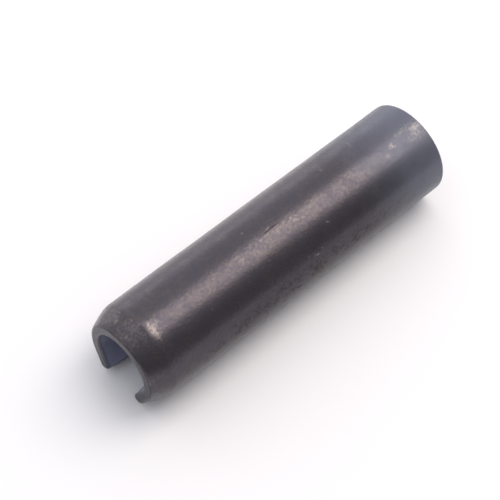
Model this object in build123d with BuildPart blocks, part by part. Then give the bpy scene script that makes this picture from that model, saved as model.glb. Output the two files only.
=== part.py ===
from build123d import *

import os
from math import degrees, radians

# A slotted spring pin: one strip of spring steel rolled into an open tube, with a lead-in at one end.
# It lies along X with its slot down, and rests on the two lips of the slot.
# The origin is on the axis, halfway along the pin. Lengths are millimetres, angles are degrees.

# The free pin, before it is driven into its hole.
pin_length = 40.0
outer_diameter = 10.6
wall_thickness = 2.0

# The back of the strip is rolled first, then a lip on each side. What is left open is the slot.
back_angle = 231.0
lip_angle = 39.5

# Near the lead-in the lips spring back almost flat, and they close up again over this length.
sprung_lip_angle = 2.0
sprung_length = 5.6

# The lead-in is pressed into the outside of the strip, crowned like the side of a barrel.
lead_in_length = 2.4
lead_in_depth = 0.92
lead_in_crown = 0.09

# Tumbling rounds every edge, and takes off the corners of the lips at the lead-in end.
corner_length = 1.8
corner_width = 0.3
lip_rounding = 0.5
lead_in_rim_rounding = 0.2
punch_rim_rounding = 0.12

outer_radius = outer_diameter / 2
bore_radius = outer_radius - wall_thickness
lip_width = radians(lip_angle) * (bore_radius + outer_radius) / 2
lead_in_end = -pin_length / 2
lead_in_stations = 3
sprung_stations = 4


def smooth_step(share):
    """Rise from 0 to 1 with a level start and a level finish."""
    return share * share * (3 - 2 * share)


def lip_angle_at(distance):
    """How far the lips are rolled, at a distance from the lead-in end."""
    closed = smooth_step(min(distance / sprung_length, 1.0))
    return sprung_lip_angle + (lip_angle - sprung_lip_angle) * closed


def lip_width_at(distance):
    """How wide each lip is, at a distance from the lead-in end."""
    left = max(1 - distance / corner_length, 0.0)
    return lip_width - corner_width * left * left


def pressed_depth_at(distance):
    """How far the lead-in is pressed below the outside of the strip, at a distance from its end."""
    left = max(1 - distance / lead_in_length, 0.0)
    return lead_in_depth * left - 4 * lead_in_crown * left * (1 - left)


def strip_section(distance):
    """Draw the strip across the pin, at a distance from the lead-in end.

    The outer line and the inner line each run lip, back, lip. The lips carry on from the back as
    arcs of their own radius, and the two cut faces of the slot close the outline.
    """
    middle_lip_radius = lip_width / radians(lip_angle_at(distance))
    lip_turn = degrees(lip_width_at(distance) / middle_lip_radius)
    middle_radius = (bore_radius + outer_radius) / 2
    pressed_radius = outer_radius - pressed_depth_at(distance)
    rounding = min(lip_rounding, 0.46 * (pressed_radius - bore_radius))
    outline = []
    tips = []
    for radius in (pressed_radius, bore_radius):
        lip_radius = middle_lip_radius + radius - middle_radius
        back = CenterArc((0, 0), radius, 90 - back_angle / 2, back_angle)
        left_lip = JernArc(back @ 1, back % 1, lip_radius, lip_turn)
        right_lip = JernArc(back @ 0, -(back % 0), lip_radius, -lip_turn)
        outline += [back, left_lip, right_lip]
        tips.append((right_lip @ 1, left_lip @ 1))
    cut_faces = [Line(outer_tip, inner_tip) for outer_tip, inner_tip in zip(*tips)]
    section = Face(Wire(outline + cut_faces))
    section = section.fillet_2d(rounding, section.edges().filter_by(GeomType.LINE).vertices())
    return Plane.YZ.offset(lead_in_end + distance) * section


lead_in_step = lead_in_length / lead_in_stations
sprung_step = (sprung_length - lead_in_length) / sprung_stations
lead_in_sections = [strip_section(lead_in_step * station) for station in range(lead_in_stations + 1)]
sprung_sections = [
    strip_section(lead_in_length + sprung_step * station) for station in range(sprung_stations + 1)
]

with BuildPart() as spring_pin:
    # The lead-in thins the wall towards the end while the lips open.
    loft(lead_in_sections)

    # The lips close up again behind the lead-in.
    loft(sprung_sections)

    # The shank is one plain section up to the end that takes the punch.
    extrude(sprung_sections[-1], amount=pin_length - sprung_length)

    # The rims are rounded inside and out.
    fillet(spring_pin.faces().sort_by(Axis.X)[0].edges(), lead_in_rim_rounding)
    fillet(spring_pin.faces().sort_by(Axis.X)[-1].edges(), punch_rim_rounding)

os.makedirs("parts", exist_ok=True)
spring_pin.part.label = "spring_pin"
export_step(spring_pin.part, "parts/spring_pin.step")
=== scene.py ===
"""A blackened slotted spring pin lying on a pale studio floor.

The pin is made the way the real one is: a flat strip of spring steel has its corners tumbled, its
lead-in pressed and is then rolled into an open tube. Geometry Nodes do the rolling from the pin's
named sizes. The finish is oil-blackened steel with wear, and with some painted highlights and
painted shade. Lengths are in metres, apart from those of the finish, which are in millimetres where
its classes say so.
"""

import logging
from collections.abc import Iterable
from dataclasses import dataclass, field
from enum import Enum
from functools import partial, reduce
from math import radians, tau

import bpy
from mathutils import Matrix, Vector

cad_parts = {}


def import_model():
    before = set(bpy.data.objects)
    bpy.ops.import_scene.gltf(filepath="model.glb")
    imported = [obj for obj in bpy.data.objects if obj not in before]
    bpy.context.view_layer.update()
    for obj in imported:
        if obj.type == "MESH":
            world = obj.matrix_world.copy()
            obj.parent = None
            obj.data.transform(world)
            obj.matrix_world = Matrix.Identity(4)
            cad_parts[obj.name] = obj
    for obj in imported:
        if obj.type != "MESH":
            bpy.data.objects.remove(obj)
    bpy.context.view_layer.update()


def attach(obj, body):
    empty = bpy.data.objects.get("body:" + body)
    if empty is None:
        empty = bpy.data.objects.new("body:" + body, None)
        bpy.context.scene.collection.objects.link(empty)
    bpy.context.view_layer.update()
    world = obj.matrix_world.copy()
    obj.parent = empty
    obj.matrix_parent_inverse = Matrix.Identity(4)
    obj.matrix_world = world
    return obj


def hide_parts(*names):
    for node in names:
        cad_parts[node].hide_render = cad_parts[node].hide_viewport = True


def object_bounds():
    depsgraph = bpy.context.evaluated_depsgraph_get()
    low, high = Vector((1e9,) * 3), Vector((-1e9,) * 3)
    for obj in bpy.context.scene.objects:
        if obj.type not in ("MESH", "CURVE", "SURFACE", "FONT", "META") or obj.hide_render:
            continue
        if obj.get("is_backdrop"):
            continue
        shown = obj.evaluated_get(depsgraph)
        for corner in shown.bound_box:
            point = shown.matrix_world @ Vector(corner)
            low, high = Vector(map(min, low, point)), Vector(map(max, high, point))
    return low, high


LOG = logging.getLogger("spring_pin")
MM = 0.001
EDGE_GAP = "edge_gap_mm"
SHOULDER_GAP = "shoulder_gap_mm"
OUTER_SIDE = "outer_side"
TINY = 1e-9
QUARTER_TURN = tau / 4
# The product of a share and its rest, times this, is a bulge of height 1.
PARABOLA = 4.0
# A noise value stays within about a quarter of its middle; times this, it swings by about 1.
NOISE_GAIN = 4.0

Socket = bpy.types.NodeSocket
Operand = Socket | float
Rgb = tuple[float, float, float]
Place = tuple[float, float, float]
Fed = Operand | Rgb | str | bpy.types.Material
# The start and end of a ramp, then its low and high where they aren't 0 and 1.
Span = tuple[float, ...]


class Wire:
    """A short way to write node arithmetic in one node tree, for geometry or for a shader."""

    COLUMNS = 24
    SPACING = (180.0, -220.0)
    MIX_VALUES = (0, 2, 3)
    MIX_COLOURS = (0, 6, 7)
    MIXED_COLOUR = 2

    def __init__(self, tree: bpy.types.NodeTree) -> None:
        """Start on a tree.

        Args:
            tree: The tree that the new nodes go into.
        """
        self.tree = tree
        self.count = 0

    def node(self, kind: str, **settings: object) -> bpy.types.Node:
        """Add a node and set its options.

        Args:
            kind: The node's type name.
            settings: Options of the node, by attribute name.

        Returns:
            The new node.
        """
        node = self.tree.nodes.new(kind)
        for name, value in settings.items():
            setattr(node, name, value)
        self.count += 1
        row, column = divmod(self.count, self.COLUMNS)
        node.location = (self.SPACING[0] * column, self.SPACING[1] * row)
        return node

    def feed(self, target: Socket, value: Fed) -> None:
        """Give an input a link or a constant.

        Args:
            target: The input socket.
            value: A socket to link, or the constant.
        """
        if isinstance(value, bpy.types.NodeSocket):
            self.tree.links.new(value, target)
        else:
            target.default_value = value

    def filled(
        self, node: bpy.types.Node, *values: Fed, places: Iterable[int | str] = ()
    ) -> bpy.types.NodeOutputs:
        """Feed several inputs of a node.

        Args:
            node: The node.
            values: What its inputs get, in order.
            places: The numbers or names of the inputs, if they aren't the first ones.

        Returns:
            The node's outputs.
        """
        for place, value in zip(places or range(len(values)), values):
            self.feed(node.inputs[place], value)
        return node.outputs

    def math(self, operation: str, *values: Operand) -> Socket:
        """Add a Math node with its inputs in order."""
        return self.filled(self.node("ShaderNodeMath", operation=operation), *values)[0]

    def total(self, *values: Operand) -> Socket:
        """Add up two or more values."""
        return reduce(partial(self.math, "ADD"), values)

    def product(self, *values: Operand) -> Socket:
        """Multiply two or more values."""
        return reduce(partial(self.math, "MULTIPLY"), values)

    def less(self, value: Operand, taken: Operand) -> Socket:
        """Take one value from another."""
        return self.math("SUBTRACT", value, taken)

    def share(self, value: Operand, other: Operand) -> Socket:
        """Divide one value by another."""
        return self.math("DIVIDE", value, other)

    def sway(self, noise: Socket) -> Socket:
        """Move a noise value so that it swings about zero."""
        return self.less(noise, 0.5)

    def within(self, value: Operand, low: Operand, high: Operand) -> Socket:
        """Hold a value between two limits."""
        return self.math("MINIMUM", self.math("MAXIMUM", value, low), high)

    def ramp(
        self,
        value: Operand,
        start: Operand,
        end: Operand,
        low: Operand = 0.0,
        high: Operand = 1.0,
        smooth: bool = False,
    ) -> Socket:
        """Map a range to another range, held at both ends.

        Args:
            value: What is mapped.
            start: Where it gives low.
            end: Where it gives high.
            low: The result at start.
            high: The result at end.
            smooth: Whether the rise has a level start and finish.

        Returns:
            The mapped value.
        """
        rise = "SMOOTHSTEP" if smooth else "LINEAR"
        node = self.node("ShaderNodeMapRange", interpolation_type=rise)
        return self.filled(node, value, start, end, low, high)[0]

    def choose(self, mask: Operand, off: Operand, on: Operand) -> Socket:
        """Blend from off to on as a mask goes from 0 to 1."""
        node = self.node("ShaderNodeMix", data_type="FLOAT")
        return self.filled(node, mask, off, on, places=self.MIX_VALUES)[0]

    def tint(self, mask: Operand, off: Socket | Rgb, on: Socket | Rgb) -> Socket:
        """Blend from one colour to another.

        Args:
            mask: How far to go, 0 to 1.
            off: The colour where the mask is 0.
            on: The colour where the mask is 1.

        Returns:
            The blended colour.
        """
        node = self.node("ShaderNodeMix", data_type="RGBA")
        colours = [
            colour if isinstance(colour, bpy.types.NodeSocket) else (*colour, 1.0)
            for colour in (off, on)
        ]
        return self.filled(node, mask, *colours, places=self.MIX_COLOURS)[self.MIXED_COLOUR]

    def vector(self, x: Operand, y: Operand, z: Operand) -> Socket:
        """Join three values into a vector."""
        return self.filled(self.node("ShaderNodeCombineXYZ"), x, y, z)[0]

    def parts(self, vector: Socket) -> bpy.types.NodeOutputs:
        """Take a vector apart into its three values."""
        return self.filled(self.node("ShaderNodeSeparateXYZ"), vector)

    def moved(self, vector: Socket, offset: Socket) -> Socket:
        """Add two vectors."""
        return self.filled(self.node("ShaderNodeVectorMath", operation="ADD"), vector, offset)[0]

    def scaled(self, vector: Socket, factor: Operand) -> Socket:
        """Multiply a vector by a value."""
        node = self.node("ShaderNodeVectorMath", operation="SCALE")
        return self.filled(node, vector, factor, places=("Vector", "Scale"))[0]

    def length(self, first: Socket, second: Socket) -> Socket:
        """Find the length of a line from its two steps at right angles."""
        squares = (self.product(step, step) for step in (first, second))
        return self.math("SQRT", self.total(*squares))

    def noise(
        self, place: Socket, scale: Operand, detail: float = 2.0, roughness: float = 0.5
    ) -> Socket:
        """Add a Noise texture.

        Args:
            place: The coordinates that it reads.
            scale: Waves per metre.
            detail: Number of finer layers.
            roughness: How strong the finer layers are.

        Returns:
            Its value, mostly between 0.3 and 0.7.
        """
        places = ("Vector", "Scale", "Detail", "Roughness")
        node = self.node("ShaderNodeTexNoise")
        return self.filled(node, place, scale, detail, roughness, places=places)[0]


@dataclass(frozen=True)
class StripSizes:
    """The pin's sizes in metres and radians, the same values as the solid's."""

    length: float = 40 * MM
    outer_radius: float = 5.3 * MM
    wall: float = 2 * MM
    back_angle: float = radians(231)
    lip_angle: float = radians(39.5)
    sprung_angle: float = radians(2)
    sprung_length: float = 5.6 * MM
    lead_in_length: float = 2.4 * MM
    lead_in_depth: float = 0.92 * MM
    lead_in_crown: float = 0.09 * MM
    crease_softness: float = 0.14
    crease_reach: float = 0.3 * MM
    corner_length: float = 1.8 * MM
    corner_width: float = 0.3 * MM
    lip_rounding: float = 0.5 * MM
    rounding_share: float = 0.46
    lead_in_rim: float = 0.2 * MM
    punch_rim: float = 0.12 * MM
    punch_margin: float = 0.5 * MM
    waviness: float = 0.02 * MM
    waves_per_metre: float = 160.0

    @property
    def middle_radius(self) -> float:
        """The radius of the middle of the wall."""
        return self.outer_radius - self.wall / 2

    @property
    def lip_width(self) -> float:
        """The width of one lip along the middle of the wall."""
        return self.lip_angle * self.middle_radius

    @property
    def back_width(self) -> float:
        """Half the width of the back along the middle of the wall."""
        return self.back_angle / 2 * self.middle_radius


@dataclass(frozen=True)
class Stretch:
    """A run of the strip that gets its own even mesh spacing."""

    size: float
    steps: int


class StripRoller:
    """The Geometry Nodes tree that rolls a flat strip into the pin."""

    def __init__(self, sizes: StripSizes) -> None:
        """Make the tree with the pin's sizes as named inputs.

        Args:
            sizes: The pin's sizes.
        """
        s = self.sizes = sizes
        self.tree = tree = bpy.data.node_groups.new("roll_strip_into_pin", "GeometryNodeTree")
        defaults = {
            "Length": s.length,
            "Wall": s.wall,
            "Middle Radius": s.middle_radius,
            "Half Back Angle": s.back_angle / 2,
            "Lip Angle": s.lip_angle,
            "Sprung Lip Angle": s.sprung_angle,
            "Sprung Length": s.sprung_length,
            "Lead-in Length": s.lead_in_length,
            "Lead-in Depth": s.lead_in_depth,
            "Lead-in Crown": s.lead_in_crown,
            "Crease Softness": s.crease_softness,
            "Corner Length": s.corner_length,
            "Corner Width": s.corner_width,
            "Lip Rounding": s.lip_rounding,
            "Rounding Share": s.rounding_share,
            "Lead-in Rim": s.lead_in_rim,
            "Punch Rim": s.punch_rim,
            "Waviness": s.waviness,
        }
        for name, value in defaults.items():
            socket = tree.interface.new_socket(name, in_out="INPUT", socket_type="NodeSocketFloat")
            socket.default_value = value
        tree.interface.new_socket("Geometry", in_out="OUTPUT", socket_type="NodeSocketGeometry")
        self.wire = wire = Wire(tree)
        self.size = size = wire.node("NodeGroupInput").outputs
        half_turn = wire.total(size["Half Back Angle"], size["Lip Angle"])
        self.half_width = wire.product(size["Middle Radius"], half_turn)
        self.half_wall = wire.product(size["Wall"], 0.5)

    def lengthwise(self) -> list[Stretch]:
        """Space the mesh from the lead-in end to the punch end.

        Returns:
            The stretches, closest at the rims and the crease.
        """
        s = self.sizes
        return [
            Stretch(s.lead_in_rim, 5),
            Stretch(s.lead_in_length - s.lead_in_rim - s.crease_reach, 10),
            Stretch(2 * s.crease_reach, 10),
            Stretch(s.sprung_length - s.lead_in_length - s.crease_reach, 10),
            Stretch(s.length - s.sprung_length - s.punch_rim - s.punch_margin, 72),
            Stretch(s.punch_margin, 2),
            Stretch(s.punch_rim, 4),
        ]

    def crosswise(self) -> list[Stretch]:
        """Space the mesh across the strip, from lip to lip.

        Returns:
            The stretches, closest at the rounded corners.
        """
        s = self.sizes
        corner = Stretch(s.lip_rounding, 6)
        lip = Stretch(s.lip_width - s.lip_rounding, 12)
        return [corner, lip, Stretch(2 * s.back_width, 110), lip, corner]

    def through(self) -> list[Stretch]:
        """Space the mesh through the wall, from the bore to the outside.

        Returns:
            The stretches, closest at the rounded corners.
        """
        s = self.sizes
        corner = Stretch(s.lip_rounding, 6)
        return [corner, Stretch(s.wall - 2 * s.lip_rounding, 4), corner]

    def spaced(self, box_share: Socket, stretches: list[Stretch]) -> Socket:
        """Turn an even grid coordinate into one that follows the stretches.

        Args:
            box_share: The even coordinate, 0 to 1.
            stretches: The runs in order.

        Returns:
            The distance from the first end, in metres.
        """
        steps = sum(stretch.steps for stretch in stretches)
        start = 0
        runs = []
        for stretch in stretches:
            end = start + stretch.steps
            runs.append(self.wire.ramp(box_share, start / steps, end / steps, 0.0, stretch.size))
            start = end
        return self.wire.total(*runs)

    def build(self, material: bpy.types.Material) -> bpy.types.NodeTree:
        """Fill the tree.

        Args:
            material: The finish that the mesh gets.

        Returns:
            The tree.
        """
        wire = self.wire
        box, along, across, depth = self.flat_strip()
        flat = self.marked(box, along, across, depth)
        inset, along = self.rims(along)
        pressed = self.pressed_lead_in(along)
        across, depth = self.rounded((along, across, depth), inset, pressed)
        shape = wire.filled(
            wire.node("GeometryNodeSetPosition"), flat, self.rolled(along, across, depth),
            places=("Geometry", "Position"),
        )
        smooth = wire.filled(wire.node("GeometryNodeSetShadeSmooth"), self.wavy(shape[0]))
        whole = wire.filled(wire.node("GeometryNodeRealizeInstances"), smooth[0])
        dressed = wire.filled(
            wire.node("GeometryNodeSetMaterial"), whole[0], material,
            places=("Geometry", "Material"),
        )
        wire.filled(wire.node("NodeGroupOutput"), dressed[0])
        return self.tree

    def flat_strip(self) -> tuple[Socket, Socket, Socket, Socket]:
        """Lay out the strip as a unit box with the right number of steps each way.

        Returns:
            The box, and where each of its points lies on the strip: the distance from the
            lead-in end, from the middle of the width, and outwards from the middle of the wall.
        """
        wire = self.wire
        runs = (self.lengthwise(), self.crosswise(), self.through())
        box = wire.node("GeometryNodeMeshCube")
        box.inputs["Size"].default_value = (1.0, 1.0, 1.0)
        for name, stretches in zip(("Vertices X", "Vertices Y", "Vertices Z"), runs):
            box.inputs[name].default_value = 1 + sum(stretch.steps for stretch in stretches)
        axes = wire.parts(wire.node("GeometryNodeInputPosition").outputs[0])
        along, across, depth = (
            self.spaced(wire.math("ADD", axis, 0.5), stretches)
            for axis, stretches in zip(axes, runs)
        )
        across = wire.less(across, self.half_width)
        depth = wire.less(depth, self.half_wall)
        return box.outputs["Mesh"], along, across, depth

    def marked(self, strip: Socket, along: Socket, across: Socket, depth: Socket) -> Socket:
        """Keep, on the flat strip, what the finish needs to know about each point.

        Args:
            strip: The flat strip.
            along: The distance from the lead-in end.
            across: The distance from the middle of the strip.
            depth: The distance from the middle of the wall, outwards.

        Returns:
            The strip with the gap to its nearest edge, the gap to the shoulder, and its side.
        """
        wire, size = self.wire, self.size
        from_ends = wire.math("MINIMUM", along, wire.less(size["Length"], along))
        from_lips = wire.less(self.half_width, wire.math("ABSOLUTE", across))
        from_skins = wire.less(self.half_wall, wire.math("ABSOLUTE", depth))
        nearer = wire.math("MINIMUM", from_ends, from_lips)
        farther = wire.math("MINIMUM", wire.math("MAXIMUM", from_ends, from_lips), from_skins)
        edge_gap = wire.math("MAXIMUM", nearer, farther)
        past_shoulder = wire.math("ABSOLUTE", wire.less(along, size["Lead-in Length"]))
        shoulder_gap = wire.total(past_shoulder, wire.less(self.half_wall, depth))
        outer_side = wire.total(wire.share(depth, size["Wall"]), 0.5)
        kept = strip
        for name, value in (
            (EDGE_GAP, wire.product(edge_gap, 1 / MM)),
            (SHOULDER_GAP, wire.product(shoulder_gap, 1 / MM)),
            (OUTER_SIDE, outer_side),
        ):
            node = wire.node("GeometryNodeStoreNamedAttribute", data_type="FLOAT", domain="POINT")
            kept = wire.filled(node, kept, name, value, places=("Geometry", "Name", "Value"))[0]
        return kept

    def rims(self, along: Socket) -> tuple[Socket, Socket]:
        """Turn the rim at each end into a quarter round.

        Args:
            along: The distance from the lead-in end, before rounding.

        Returns:
            How far the section shrinks there, and the distance after rounding.
        """
        wire, size = self.wire, self.size
        insets, places = [], []
        for name, distance in (
            ("Lead-in Rim", along),
            ("Punch Rim", wire.less(size["Length"], along)),
        ):
            turn = wire.ramp(distance, 0.0, size[name], 0.0, QUARTER_TURN)
            insets.append(wire.product(size[name], wire.less(1.0, wire.math("SINE", turn))))
            round_place = wire.product(size[name], wire.less(1.0, wire.math("COSINE", turn)))
            places.append(wire.less(round_place, wire.within(distance, 0.0, size[name])))
        return wire.total(*insets), wire.total(along, wire.less(places[0], places[1]))

    def pressed_lead_in(self, along: Socket) -> Socket:
        """Press the lead-in into the outside, with a crowned side and a soft crease behind it.

        Args:
            along: The distance from the lead-in end.

        Returns:
            How far the outside is pressed in.
        """
        wire, size = self.wire, self.size
        left = wire.less(1.0, wire.share(along, size["Lead-in Length"]))
        left = wire.math("SMOOTH_MAX", left, 0.0, size["Crease Softness"])
        crown = wire.product(PARABOLA, size["Lead-in Crown"], left, wire.less(1.0, left))
        return wire.less(wire.product(size["Lead-in Depth"], left), crown)

    def rounded(
        self, place: tuple[Socket, Socket, Socket], inset: Socket, pressed: Socket
    ) -> tuple[Socket, Socket]:
        """Round the corners of the lips and fit the section into the wall that is left.

        An offset in a square corner becomes one in a round corner. Where the wall is thin or the
        lip is tumbled shorter, the middle of the strip closes up.

        Args:
            place: The distances along the strip, across it and through its wall.
            inset: How far the section shrinks at the rims.
            pressed: How far the outside is pressed in.

        Returns:
            The new distances across the strip and through its wall.
        """
        wire, size = self.wire, self.size
        along, across, depth = place
        half_left = wire.less(self.half_wall, wire.product(0.5, pressed))
        square_corner = size["Lip Rounding"]
        widest = wire.product(2.0, size["Rounding Share"], half_left)
        corner = wire.math("MINIMUM", square_corner, widest)
        tumbled = wire.ramp(along, 0.0, size["Corner Length"], 1.0, 0.0)
        trim = wire.product(size["Corner Width"], tumbled, tumbled)

        inner_width = wire.less(self.half_width, square_corner)
        inner_wall = wire.less(self.half_wall, square_corner)
        straight_across = wire.within(across, wire.product(-1.0, inner_width), inner_width)
        straight_depth = wire.within(depth, wire.product(-1.0, inner_wall), inner_wall)
        off_across = wire.less(across, straight_across)
        off_depth = wire.less(depth, straight_depth)
        sides = (wire.math("ABSOLUTE", side) for side in (off_across, off_depth))
        square = wire.math("MAXIMUM", *sides)
        reach = wire.math("MAXIMUM", wire.length(off_across, off_depth), TINY)
        smaller = wire.share(wire.less(corner, inset), square_corner)
        scale = wire.product(wire.share(square, reach), smaller)

        width_left = wire.less(self.half_width, trim)
        shorter = wire.share(wire.less(width_left, corner), inner_width)
        thinner = wire.share(wire.less(half_left, corner), inner_wall)
        across = wire.total(wire.product(straight_across, shorter), wire.product(off_across, scale))
        depth = wire.total(
            wire.product(straight_depth, thinner),
            wire.product(off_depth, scale),
            wire.product(-0.5, pressed),
        )
        return across, depth

    def rolled(self, along: Socket, across: Socket, depth: Socket) -> Socket:
        """Roll the strip: the back keeps its radius, and each lip has a radius of its own.

        Args:
            along: The distance from the lead-in end.
            across: The distance from the middle of the strip.
            depth: The distance from the middle of the wall, outwards.

        Returns:
            The point's place on the pin.
        """
        wire, size = self.wire, self.size
        middle = size["Middle Radius"]
        closed = wire.ramp(along, 0.0, size["Sprung Length"], smooth=True)
        lip_turn = wire.choose(closed, size["Sprung Lip Angle"], size["Lip Angle"])
        lip_radius = wire.share(wire.product(middle, size["Lip Angle"]), lip_turn)
        side = wire.math("SIGN", across)
        distance = wire.math("ABSOLUTE", across)
        back_width = wire.product(middle, size["Half Back Angle"])
        past = wire.math("MAXIMUM", wire.less(distance, back_width), 0.0)
        on_lip = wire.math("GREATER_THAN", past, 0.0)
        radius = wire.choose(on_lip, middle, lip_radius)
        back_angle = wire.share(wire.math("MINIMUM", distance, back_width), middle)
        angle = wire.product(side, wire.total(back_angle, wire.share(past, lip_radius)))
        aside = wire.less(middle, radius)
        centre = wire.vector(
            0.0,
            wire.product(side, aside, wire.math("SINE", size["Half Back Angle"])),
            wire.product(aside, wire.math("COSINE", size["Half Back Angle"])),
        )
        outward = wire.vector(0.0, wire.math("SINE", angle), wire.math("COSINE", angle))
        section = wire.moved(wire.scaled(outward, wire.total(radius, depth)), centre)
        half_length = wire.product(0.5, size["Length"])
        return wire.moved(section, wire.vector(wire.less(along, half_length), 0.0, 0.0))

    def wavy(self, shape: Socket) -> Socket:
        """Let the skin wander a little, because a drawn strip is never quite true.

        Args:
            shape: The rolled strip.

        Returns:
            The strip with its skin moved in or out.
        """
        wire, size = self.wire, self.size
        place = wire.node("GeometryNodeInputPosition").outputs[0]
        swell = wire.sway(wire.noise(place, self.sizes.waves_per_metre, roughness=0.45))
        outward = wire.node("GeometryNodeInputNormal").outputs[0]
        push = wire.scaled(outward, wire.product(swell, NOISE_GAIN, size["Waviness"]))
        node = wire.node("GeometryNodeSetPosition")
        return wire.filled(node, shape, push, places=("Geometry", "Offset"))[0]


@dataclass
class SpringPin:
    """The rolled pin: a fine mesh in place of the solid, and its finish."""

    sizes: StripSizes = field(default_factory=StripSizes)
    node_name: str = "spring_pin"
    slot_name: str = "blackened_steel"

    def build(self, material: bpy.types.Material) -> bpy.types.Object:
        """Roll the strip and keep the result as a plain mesh.

        Args:
            material: The pin's finish.

        Returns:
            The finished object, at the origin.
        """
        seed = bpy.data.meshes.new("flat_strip")
        pin = bpy.data.objects.new("rolled_spring_pin", seed)
        bpy.context.scene.collection.objects.link(pin)
        modifier = pin.modifiers.new("roll", "NODES")
        modifier.node_group = StripRoller(self.sizes).build(material)
        for item in modifier.node_group.interface.items_tree:
            if item.in_out == "INPUT":
                modifier[item.identifier] = item.default_value
        bpy.context.view_layer.update()
        graph = bpy.context.evaluated_depsgraph_get()
        mesh = bpy.data.meshes.new_from_object(
            pin.evaluated_get(graph), preserve_all_data_layers=True, depsgraph=graph
        )
        pin.modifiers.remove(modifier)
        mesh.name = "rolled_spring_pin"
        pin.data = mesh
        bpy.data.meshes.remove(seed)
        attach(pin, "root")
        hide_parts(self.node_name)
        LOG.info("pin: %d faces", len(mesh.polygons))
        return pin


class EffectGroup:
    """A shader node group that is built once and then placed in materials."""

    def __init__(
        self, name: str, inputs: dict[str, float | None], outputs: tuple[str, ...]
    ) -> None:
        """Make the empty group and its sockets.

        Args:
            name: The group's name.
            inputs: Each input and its default, or None for a vector.
            outputs: The names of the values that it puts out.
        """
        self.tree = bpy.data.node_groups.new(name, "ShaderNodeTree")
        for title, value in inputs.items():
            kind = "NodeSocketVector" if value is None else "NodeSocketFloat"
            socket = self.tree.interface.new_socket(title, in_out="INPUT", socket_type=kind)
            if value is not None:
                socket.default_value = value
        for title in outputs:
            self.tree.interface.new_socket(title, in_out="OUTPUT", socket_type="NodeSocketFloat")
        self.wire = Wire(self.tree)
        self.inputs = self.wire.node("NodeGroupInput").outputs
        self.end = self.wire.node("NodeGroupOutput")

    def give(self, **results: Socket) -> None:
        """Link the results to the outputs.

        Args:
            results: Results by the output's name, with underscores for spaces.
        """
        for name, value in results.items():
            self.wire.feed(self.end.inputs[name.replace("_", " ").title()], value)

    def place(self, wire: Wire, **values: Operand) -> bpy.types.Node:
        """Place the group in a material.

        Args:
            wire: The material's tree.
            values: Inputs by name, with underscores for spaces.

        Returns:
            The group node.
        """
        node = wire.node("ShaderNodeGroup", node_tree=self.tree)
        for name, value in values.items():
            wire.feed(node.inputs[name.replace("_", " ").title()], value)
        return node


@dataclass(frozen=True)
class OxideGrain:
    """The fine pitting and the mottled oxide of tumbled, oil-blackened steel, in metres."""

    waves: float = 3000.0
    pits: float = 2200.0
    coarse_waves: float = 0.35
    coarse_share: float = 0.4
    roughness: float = 0.6
    mottle: Span = (0.38, 0.62)
    pit_width: Span = (0.55, 1.0, 0.0, 0.42)
    pit_floor: float = 0.4
    least_pit: float = 0.6
    fleck: Span = (0.30, 0.05)
    fleck_kinds: Span = (0.86, 1.0)
    fleck_ground: Span = (0.45, 0.62)
    fine_height: float = 15e-6
    coarse_height: float = 14e-6
    pit_depth: float = 8e-6

    def build(self) -> EffectGroup:
        """Build the group.

        Returns:
            The group. It puts out the mottling, the bright flecks and the height.
        """
        inputs = {"Place": None, "Grain": self.waves, "Pits": self.pits}
        group = EffectGroup("pitted_oxide", inputs, ("Mottle", "Speck", "Height"))
        wire, got = group.wire, group.inputs
        coarse, fine = (
            wire.noise(got["Place"], wire.product(got["Grain"], share), roughness=self.roughness)
            for share in (self.coarse_waves, 1.0)
        )
        node = wire.node("ShaderNodeTexVoronoi", feature="F1")
        cells = wire.filled(node, got["Place"], got["Pits"], places=("Vector", "Scale"))
        distance = cells["Distance"]
        pit_kind, fleck_kind, _ = wire.parts(cells["Color"])
        width = wire.ramp(pit_kind, *self.pit_width)
        pit = wire.ramp(distance, width, wire.product(width, self.pit_floor), smooth=True)
        pit = wire.product(pit, wire.math("GREATER_THAN", pit_kind, self.least_pit))
        fleck = wire.product(
            wire.ramp(distance, *self.fleck, smooth=True),
            wire.ramp(fleck_kind, *self.fleck_kinds),
            wire.ramp(coarse, *self.fleck_ground),
        )
        mixed = wire.total(
            wire.product(coarse, self.coarse_share), wire.product(fine, 1.0 - self.coarse_share)
        )
        bumps = wire.total(
            wire.product(fine, self.fine_height), wire.product(coarse, self.coarse_height)
        )
        height = wire.less(bumps, wire.product(pit, self.pit_depth))
        group.give(mottle=wire.ramp(mixed, *self.mottle), speck=fleck, height=height)
        return group


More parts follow.
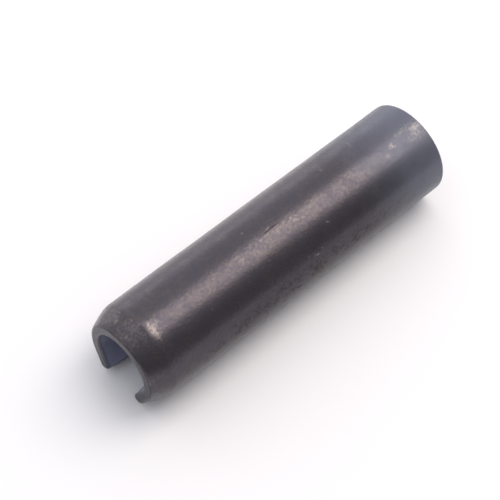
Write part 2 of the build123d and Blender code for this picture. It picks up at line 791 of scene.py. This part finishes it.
@dataclass
class Effects:
    """The effects that the pin's finishes share. Lengths are in millimetres."""

    PATCH_RIM = (1.0, 0.35)
    LEAST_REACH = 0.01
    EDGE_GAIN = 6.0
    SCRATCH_LINE = (0.30, 0.12)

    skin: EffectGroup = field(init=False)
    grain: EffectGroup = field(init=False)
    patch: EffectGroup = field(init=False)
    edges: EffectGroup = field(init=False)
    scratches: EffectGroup = field(init=False)

    def __post_init__(self) -> None:
        """Build each group once."""
        self.skin = self.build_skin()
        self.grain = OxideGrain().build()
        self.patch = self.build_patch()
        self.edges = self.build_edges()
        self.scratches = self.build_scratches()

    @staticmethod
    def turned(wire: Wire, along: Socket, around: Socket, turn: Socket) -> tuple[Socket, Socket]:
        """Turn a place on the skin.

        Args:
            wire: The tree being built.
            along: The distance along the pin.
            around: The distance around it.
            turn: The angle.

        Returns:
            The distances along and across the turned direction.
        """
        sine, cosine = wire.math("SINE", turn), wire.math("COSINE", turn)
        first = wire.total(wire.product(along, cosine), wire.product(around, sine))
        return first, wire.less(wire.product(around, cosine), wire.product(along, sine))

    @staticmethod
    def build_skin() -> EffectGroup:
        """Turn a place on the pin into millimetres along it and around it.

        Returns:
            The group.
        """
        group = EffectGroup("pin_skin", {"Place": None}, ("Along", "Around"))
        wire = group.wire
        x, y, z = wire.parts(group.inputs["Place"])
        angle = wire.math("ARCTAN2", wire.product(y, -1.0), z)
        around = wire.product(angle, StripSizes().outer_radius / MM)
        group.give(along=wire.product(x, 1 / MM), around=around)
        return group

    @classmethod
    def build_patch(cls) -> EffectGroup:
        """Draw one patch of wear, soiling, painted highlight or painted shade: an oval with a
        ragged rim.

        Returns:
            The group.
        """
        inputs = {
            "Along": 0.0, "Around": 0.0, "Middle Along": 0.0, "Middle Around": 0.0,
            "Length": 1.0, "Width": 1.0, "Turn": 0.0, "Ragged": 0.5, "Noise": 0.5,
        }
        group = EffectGroup("mark_or_painted_light_patch", inputs, ("Mask",))
        wire, got = group.wire, group.inputs
        along = wire.less(got["Along"], got["Middle Along"])
        around = wire.less(got["Around"], got["Middle Around"])
        first, second = cls.turned(wire, along, around, got["Turn"])
        reach = wire.length(wire.share(first, got["Length"]), wire.share(second, got["Width"]))
        ragged = wire.product(wire.sway(got["Noise"]), got["Ragged"], NOISE_GAIN)
        group.give(mask=wire.ramp(wire.total(reach, ragged), *cls.PATCH_RIM, smooth=True))
        return group

    @classmethod
    def build_edges(cls) -> EffectGroup:
        """Draw wear that follows an edge and breaks up along it.

        Returns:
            The group.
        """
        inputs = {"Gap": 1.0, "Reach": 0.2, "Noise": 0.5, "Breakup": 0.5}
        group = EffectGroup("worn_edge", inputs, ("Mask",))
        wire, got = group.wire, group.inputs
        broken = wire.product(wire.sway(got["Noise"]), got["Breakup"], cls.EDGE_GAIN)
        reach = wire.product(got["Reach"], wire.total(1.0, broken))
        reach = wire.math("MAXIMUM", reach, cls.LEAST_REACH)
        group.give(mask=wire.ramp(got["Gap"], reach, 0.0, smooth=True))
        return group

    @classmethod
    def build_scratches(cls) -> EffectGroup:
        """Draw short stray scratches, few and at one slant.

        Returns:
            The group.
        """
        inputs = {
            "Along": 0.0, "Around": 0.0, "Turn": 0.4, "Length": 1.6, "Width": 0.22, "Few": 0.9
        }
        group = EffectGroup("stray_scratches", inputs, ("Mask",))
        wire, got = group.wire, group.inputs
        first, second = cls.turned(wire, got["Along"], got["Around"], got["Turn"])
        first, second = wire.share(first, got["Length"]), wire.share(second, got["Width"])
        place = wire.vector(first, second, 0.0)
        node = wire.node("ShaderNodeTexVoronoi", voronoi_dimensions="2D", feature="F1")
        cells = wire.filled(node, place, 1.0, places=("Vector", "Scale"))
        kind = wire.parts(cells["Color"])[0]
        line = wire.ramp(cells["Distance"], *cls.SCRATCH_LINE, smooth=True)
        group.give(mask=wire.product(line, wire.math("GREATER_THAN", kind, got["Few"])))
        return group


@dataclass(frozen=True)
class MarkOrPaintedLight:
    """A place where the black is rubbed through or has a painted highlight, or, where its strength
    is below 0, is dirty or has painted shade.

    It lies along millimetres from the pin's middle and angle degrees from its top.
    """

    along: float
    angle: float
    length: float
    width: float
    strength: float
    turn: float = 0.0
    ragged: float = 0.5

    @property
    def around(self) -> float:
        """The distance from the top of the pin, around its skin."""
        return radians(self.angle) * StripSizes().outer_radius / MM


MARKS_AND_PAINTED_LIGHT = (
    # The patch that the punch left at the driven end.
    MarkOrPaintedLight(18.9, 12.0, 1.4, 1.2, 0.16, ragged=0.9),
    MarkOrPaintedLight(19.1, 13.0, 0.6, 0.7, 0.12, ragged=1.0),
    MarkOrPaintedLight(17.4, 6.0, 0.9, 0.5, 0.09, ragged=1.0),
    MarkOrPaintedLight(15.6, 12.0, 0.5, 0.4, 0.20, ragged=0.9),
    MarkOrPaintedLight(14.4, 18.0, 0.4, 0.3, 0.10, ragged=0.9),
    # The shoulder behind the lead-in: partly wear, partly a painted highlight of its rounded
    # crease.
    MarkOrPaintedLight(-17.15, 16.5, 0.45, 1.5, 0.155, ragged=0.35),
    MarkOrPaintedLight(-16.6, 15.0, 0.9, 1.2, 0.05, ragged=0.6),
    # The back, where the black is thinnest.
    MarkOrPaintedLight(-2.3, 8.0, 4.2, 1.1, 0.040, ragged=1.2),
    MarkOrPaintedLight(6.5, 12.0, 5.5, 1.1, 0.028, ragged=1.2),
    MarkOrPaintedLight(-2.6, 7.5, 0.32, 0.16, 0.16, ragged=0.8),
    MarkOrPaintedLight(-1.2, 1.8, 0.45, 0.09, 0.16, turn=-0.06),
    MarkOrPaintedLight(-1.0, 4.0, 1.6, 0.10, -0.75, turn=-0.055, ragged=0.25),
    MarkOrPaintedLight(-4.3, 9.5, 0.45, 0.16, 0.12, turn=-0.3, ragged=0.8),
    MarkOrPaintedLight(-5.6, 12.6, 0.45, 0.4, 0.06, ragged=0.9),
    MarkOrPaintedLight(1.5, 10.3, 0.5, 0.3, 0.06, ragged=0.9),
    # Painted reflection: the lead-in is made lighter where it faces the light behind and above it.
    MarkOrPaintedLight(-18.8, -34.0, 0.9, 1.3, 0.08, ragged=0.9),
    MarkOrPaintedLight(-18.8, 5.0, 1.1, 1.8, 0.08, ragged=1.0),
    # Painted shade: a dark strip along the foot of the near flank.
    MarkOrPaintedLight(0.0, 84.0, 24.0, 3.2, -0.5, ragged=0.12),
    # Knocks on the back.
    MarkOrPaintedLight(-3.4, -12.6, 0.18, 0.22, 0.22),
    MarkOrPaintedLight(-2.9, -12.0, 0.14, 0.18, 0.20),
    MarkOrPaintedLight(7.9, -17.8, 0.15, 0.2, 0.32),
    MarkOrPaintedLight(12.5, -22.5, 0.09, 0.55, 0.18, turn=0.25),
    MarkOrPaintedLight(-19.0, -23.0, 0.25, 0.25, 0.12),
    MarkOrPaintedLight(-17.8, 0.5, 0.16, 0.5, 0.05, ragged=0.4),
    MarkOrPaintedLight(-19.45, 4.0, 0.3, 0.4, 0.05, ragged=0.4),
    # Knocks on the near flank.
    MarkOrPaintedLight(1.7, 58.5, 0.45, 0.16, 0.55, turn=0.35, ragged=0.7),
    MarkOrPaintedLight(0.8, 55.0, 0.14, 0.12, 0.25),
    MarkOrPaintedLight(2.6, 55.5, 0.2, 0.14, 0.25),
    MarkOrPaintedLight(4.4, 35.0, 0.3, 0.13, 0.28, turn=0.6),
    MarkOrPaintedLight(1.0, 31.0, 0.5, 0.07, 0.12),
    MarkOrPaintedLight(-11.2, 35.0, 0.3, 0.14, 0.12),
    MarkOrPaintedLight(-5.8, 62.5, 0.13, 0.25, 0.18),
    MarkOrPaintedLight(-8.0, 82.0, 0.12, 0.8, 0.12),
    MarkOrPaintedLight(-1.3, 82.3, 0.65, 0.14, -0.8, turn=0.25, ragged=0.3),
    MarkOrPaintedLight(16.0, 40.0, 0.14, 0.14, 0.15),
)


@dataclass(frozen=True)
class SkinPoint:
    """What the finish knows about a point of the pin. Lengths are in millimetres."""

    wire: Wire
    effects: Effects
    along: Socket
    around: Socket
    mottle: Socket
    speck: Socket
    height: Socket
    broad: Socket
    ragged: Socket
    edge_gap: Socket
    shoulder_gap: Socket
    outer: Socket

    @classmethod
    def read(cls, wire: Wire, effects: Effects) -> "SkinPoint":
        """Read the point in a material.

        Args:
            wire: The material's tree.
            effects: The shared effect groups.

        Returns:
            The point.
        """
        place = wire.node("ShaderNodeTexCoord").outputs["Object"]
        skin = effects.skin.place(wire, place=place).outputs
        grain = effects.grain.place(wire, place=place).outputs
        edge_gap, shoulder_gap, outer = (
            wire.node("ShaderNodeAttribute", attribute_name=name).outputs["Fac"]
            for name in (EDGE_GAP, SHOULDER_GAP, OUTER_SIDE)
        )
        return cls(
            wire=wire,
            effects=effects,
            along=skin["Along"],
            around=skin["Around"],
            mottle=grain["Mottle"],
            speck=grain["Speck"],
            height=grain["Height"],
            broad=wire.noise(place, scale=420.0, detail=3.0, roughness=0.55),
            ragged=wire.noise(place, scale=3600.0, detail=3.0, roughness=0.65),
            edge_gap=edge_gap,
            shoulder_gap=shoulder_gap,
            outer=outer,
        )


@dataclass(frozen=True)
class StrayScratches:
    """A set of stray scratches at one slant."""

    turn: float
    length: float
    strength: float
    few: float = 0.985


@dataclass(frozen=True)
class BlackenedSteel:
    """Oil-blackened spring steel with wear from handling, and with some painted highlights and
    painted shade. Lengths are in millimetres.
    """

    name: str = "blackened_spring_steel"
    black: Rgb = (0.052, 0.048, 0.063)
    rusty: Rgb = (0.078, 0.067, 0.069)
    # The punch end is tinted lighter and bluer.
    punch_end_tint: Rgb = (0.105, 0.115, 0.150)
    bore: Rgb = (0.225, 0.240, 0.330)
    # The colour of steel rubbed through, also used for painted highlights on the lead-in and the
    # shoulder.
    bare_and_highlight: Rgb = (0.46, 0.42, 0.375)
    # The colour of dirty places, also used for painted shade on the lead-in end face and the foot
    # of the near flank.
    grime_and_shade: Rgb = (0.014, 0.010, 0.012)
    metallic: float = 0.9
    roughness: float = 0.32
    roughness_limits: Span = (0.12, 0.9)
    mottled_roughness: float = 0.12
    driven_roughness: float = 0.08
    bore_roughness: float = 0.15
    oil: float = 0.40
    oil_roughness: float = 0.26
    oil_lost_at_end: float = 0.7
    dry_end: float = 0.50
    dry_bore: float = 0.60
    # How dark the painted shade on the lead-in end face is.
    painted_face_shade: float = 0.55
    # Where each mask rises: by noise, by place along the pin, through the wall or off an edge.
    thin_places: Span = (0.38, 0.62, 0.45, 1.0)
    driven: Span = (7.5, 20.0)
    driven_sway: float = 4.0
    bore_side: Span = (0.22, 0.02)
    bore_mouth: Span = (0.1, 0.5, 0.25, 1.0)
    cut_face: Span = (-19.86, -19.96)
    rim_reach: float = 0.16
    rim_breakup: float = 0.8
    rim_wear: Span = (0.35, 0.65, 0.06, 0.24)
    # On the shoulder, the edge wear is partly a painted highlight of its rounded crease.
    shoulder_reach: float = 0.22
    shoulder_breakup: float = 1.0
    shoulder_wear: Span = (0.40, 0.65, 0.0, 0.05)
    scratches: tuple[StrayScratches, ...] = (
        StrayScratches(0.5, 1.1, 0.06),
        StrayScratches(-1.1, 1.6, 0.05),
    )
    scratch_gaps: Span = (0.42, 0.6)
    fleck_wear: float = 0.06
    mark_side: Span = (0.7, 0.9)
    mark_grain: Span = (0.15, 0.85, 0.3, 1.5)
    wear_depth: float = 9e-6
    marks_and_painted_light: tuple[MarkOrPaintedLight, ...] = MARKS_AND_PAINTED_LIGHT

    def material(self, effects: Effects) -> bpy.types.Material:
        """Build the material.

        Args:
            effects: The shared effect groups.

        Returns:
            The finished material.
        """
        material = bpy.data.materials.new(self.name)
        material.use_nodes = True
        shader = material.node_tree.nodes["Principled BSDF"]
        wire = Wire(material.node_tree)
        point = SkinPoint.read(wire, effects)
        driven, inside = self.driven_end(point), self.inside(point)
        # The patches hold wear and dirty places, and also painted highlights and painted shade.
        marks_and_painted_light = self.handled_and_painted_light(point)
        # Rubbed-through steel, and the painted highlights on the lead-in and the shoulder.
        wear_and_highlight = wire.within(wire.total(self.wear_and_highlight(point), marks_and_painted_light), 0.0, 1.0)
        # Painted shade: the lead-in end face is darkened.
        face = wire.ramp(point.along, *self.cut_face, 0.0, self.painted_face_shade)
        # Dirty places, and painted shade.
        dirt_and_shade = wire.math("MAXIMUM", wire.ramp(marks_and_painted_light, 0.0, -1.0), face)

        # Thin black looks brown. Each later colour lies over the ones before it.
        thin = wire.product(point.mottle, wire.ramp(point.broad, *self.thin_places))
        colour = wire.tint(thin, self.black, self.rusty)
        for mask, over in zip(
            (driven, inside, wear_and_highlight, dirt_and_shade), (self.punch_end_tint, self.bore, self.bare_and_highlight, self.grime_and_shade)
        ):
            colour = wire.tint(mask, colour, over)
        wire.feed(shader.inputs["Base Color"], colour)

        # Where the oil has dried off, the oxide is dull and scatters some light.
        dry = wire.math(
            "MAXIMUM", wire.product(driven, self.dry_end), wire.product(inside, self.dry_bore)
        )
        wire.feed(shader.inputs["Metallic"], wire.less(self.metallic, dry))
        rough = wire.total(
            self.roughness,
            wire.product(wire.less(0.5, point.mottle), self.mottled_roughness),
            wire.product(driven, self.driven_roughness),
            wire.product(inside, self.bore_roughness),
        )
        wire.feed(shader.inputs["Roughness"], wire.within(rough, *self.roughness_limits))
        oily_end = wire.less(1.0, wire.product(self.oil_lost_at_end, driven))
        oily = wire.product(oily_end, wire.less(1.0, dirt_and_shade))
        wire.feed(shader.inputs["Coat Weight"], wire.product(self.oil, oily))
        shader.inputs["Coat Roughness"].default_value = self.oil_roughness

        bump = wire.node("ShaderNodeBump")
        bump.inputs["Distance"].default_value = 1.0
        bump.inputs["Strength"].default_value = 1.0
        rubbed_off = wire.product(wear_and_highlight, wire.product(point.ragged, self.wear_depth))
        wire.feed(bump.inputs["Height"], wire.less(point.height, rubbed_off))
        wire.feed(shader.inputs["Normal"], bump.outputs[0])
        return material

    def driven_end(self, point: SkinPoint) -> Socket:
        """Mask the end that takes the punch, where the oil has dried and the colour is tinted
        lighter and bluer.

        Args:
            point: The point being shaded.

        Returns:
            The mask.
        """
        wire = point.wire
        sway = wire.product(wire.sway(point.broad), self.driven_sway)
        return wire.ramp(wire.total(point.along, sway), *self.driven, smooth=True)

    def inside(self, point: SkinPoint) -> Socket:
        """Mask the bore, less so near its edges.

        Args:
            point: The point being shaded.

        Returns:
            The mask.
        """
        wire = point.wire
        side = wire.ramp(point.outer, *self.bore_side, smooth=True)
        return wire.product(side, wire.ramp(point.edge_gap, *self.bore_mouth))

    def wear_and_highlight(self, point: SkinPoint) -> Socket:
        """Mask the wear that is everywhere: on edges, on the shoulder, in scratches and flecks. On
        the shoulder it is partly a painted highlight.

        Args:
            point: The point being shaded.

        Returns:
            The mask.
        """
        wire, effects = point.wire, point.effects
        amounts = []
        for gap, reach, breakup, strength in (
            (point.edge_gap, self.rim_reach, self.rim_breakup, self.rim_wear),
            (point.shoulder_gap, self.shoulder_reach, self.shoulder_breakup, self.shoulder_wear),
        ):
            edge = effects.edges.place(
                wire, gap=gap, reach=reach, breakup=breakup, noise=point.broad
            )
            amounts.append(wire.product(edge.outputs[0], wire.ramp(point.ragged, *strength)))
        gaps = wire.ramp(point.ragged, *self.scratch_gaps)
        for scratch in self.scratches:
            lines = effects.scratches.place(
                wire, along=point.along, around=point.around,
                turn=scratch.turn, few=scratch.few, length=scratch.length,
            )
            amounts.append(wire.product(lines.outputs[0], gaps, scratch.strength))
        return wire.total(*amounts, wire.product(point.speck, self.fleck_wear))

    def handled_and_painted_light(self, point: SkinPoint) -> Socket:
        """Add up the rubbed and dirty places on the outside, and the painted highlights and painted
        shade among them.

        Args:
            point: The point being shaded.

        Returns:
            How far the steel is rubbed through or given a painted highlight, or, where it is below
            0, how dirty it is or how much shade is painted.
        """
        wire = point.wire
        amounts = []
        for mark in self.marks_and_painted_light:
            patch = point.effects.patch.place(
                wire, along=point.along, around=point.around, noise=point.ragged,
                middle_along=mark.along, middle_around=mark.around, turn=mark.turn,
                length=mark.length, width=mark.width, ragged=mark.ragged,
            )
            amounts.append(wire.product(patch.outputs[0], mark.strength))
        outside = wire.ramp(point.outer, *self.mark_side)
        return wire.product(
            wire.total(*amounts), outside, wire.ramp(point.mottle, *self.mark_grain)
        )


class StudioSide(Enum):
    """Where a soft lamp stands."""

    OVERHEAD = "overhead"
    BEHIND = "behind"


@dataclass(frozen=True)
class SoftLamp:
    """A rectangular soft box that looks at the pin."""

    side: StudioSide
    place: Place
    size: tuple[float, float]
    watts: float
    colour: Rgb

    def light(self) -> None:
        """Hang the lamp and turn it to the pin."""
        data = bpy.data.lights.new(f"soft_lamp_{self.side.value}", "AREA")
        data.shape = "RECTANGLE"
        data.size, data.size_y = self.size
        data.energy = self.watts
        data.color = self.colour
        lamp = bpy.data.objects.new(data.name, data)
        lamp.location = self.place
        lamp.rotation_euler = (-Vector(self.place)).to_track_quat("-Z", "Y").to_euler()
        bpy.context.scene.collection.objects.link(lamp)


@dataclass
class Studio:
    """The pale floor, the soft light and the camera."""

    lamps: tuple[SoftLamp, ...] = (
        SoftLamp(
            StudioSide.OVERHEAD, (0.110, -0.024, 0.224), (0.16, 0.245), 0.37, (1.0, 0.88, 0.81)
        ),
        SoftLamp(StudioSide.BEHIND, (0.30, 0.62, 0.105), (0.9, 0.20), 0.42, (0.95, 0.93, 1.0)),
    )
    floor_width: float = 3.0
    floor_colour: Rgb = (0.855, 0.88, 0.89)
    floor_roughness: float = 0.9
    floor_shine: float = 0.2
    tent_side: Place = (0.05, 0.93, 0.30)
    tent: Span = (-0.8, 0.95, 0.36, 1.20)
    tent_colour: Rgb = (0.975, 0.950, 1.0)
    camera_place: Place = (-0.06587975, -0.05462051, 0.12887636)
    camera_right: Place = (0.7271226, -0.6833768, 0.0655654)
    camera_up: Place = (0.5461039, 0.6336774, 0.5479214)
    camera_lens: float = 109.98
    sensor_width: float = 36.0

    def lay_floor(self) -> None:
        """Lay the floor under the lowest point of the pin."""
        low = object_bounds()[0][2]
        half = self.floor_width / 2
        corners = [(-half, -half, low), (half, -half, low), (half, half, low), (-half, half, low)]
        mesh = bpy.data.meshes.new("floor")
        mesh.from_pydata(corners, [], [(0, 1, 2, 3)])
        floor = bpy.data.objects.new("floor", mesh)
        mesh.materials.append(self.floor_material())
        bpy.context.scene.collection.objects.link(floor)
        floor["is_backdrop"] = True

    def floor_material(self) -> bpy.types.Material:
        """Make a plain matt white sheet.

        Returns:
            The sheet's material.
        """
        material = bpy.data.materials.new("white_sheet")
        material.use_nodes = True
        shader = material.node_tree.nodes["Principled BSDF"]
        shader.inputs["Base Color"].default_value = (*self.floor_colour, 1.0)
        shader.inputs["Roughness"].default_value = self.floor_roughness
        shader.inputs["Specular IOR Level"].default_value = self.floor_shine
        return material

    def light(self) -> None:
        """Light the tent around the pin, which is brightest behind it, and hang the lamps."""
        world = bpy.data.worlds.new("light_tent")
        world.use_nodes = True
        background = world.node_tree.nodes["Background"]
        wire = Wire(world.node_tree)
        node = wire.node("ShaderNodeVectorMath", operation="DOT_PRODUCT")
        look = wire.node("ShaderNodeTexCoord").outputs["Generated"]
        towards = wire.filled(node, look, Vector(self.tent_side).normalized())
        strength = wire.ramp(towards["Value"], *self.tent, smooth=True)
        wire.feed(background.inputs["Strength"], strength)
        background.inputs["Color"].default_value = (*self.tent_colour, 1.0)
        bpy.context.scene.world = world
        for lamp in self.lamps:
            lamp.light()

    def set_camera(self) -> None:
        """Stand the camera where it looks down on the lead-in end."""
        data = bpy.data.cameras.new("camera")
        data.lens = self.camera_lens
        data.sensor_width = self.sensor_width
        data.clip_start = MM
        camera = bpy.data.objects.new("camera", data)
        right, up = Vector(self.camera_right).normalized(), Vector(self.camera_up)
        back = right.cross(up).normalized()
        up = back.cross(right)
        turned = Matrix((right, up, back)).transposed().to_4x4()
        camera.matrix_world = Matrix.Translation(self.camera_place) @ turned
        bpy.context.scene.collection.objects.link(camera)
        bpy.context.scene.camera = camera


def main() -> None:
    """Load the frame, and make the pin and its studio."""
    logging.basicConfig(level=logging.INFO, format="%(name)s: %(message)s")
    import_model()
    bpy.context.scene.view_settings.view_transform = "Standard"
    steel = BlackenedSteel().material(Effects())
    SpringPin().build(steel)
    studio = Studio()
    studio.lay_floor()
    studio.light()
    studio.set_camera()


if __name__ == "__main__":
    main()
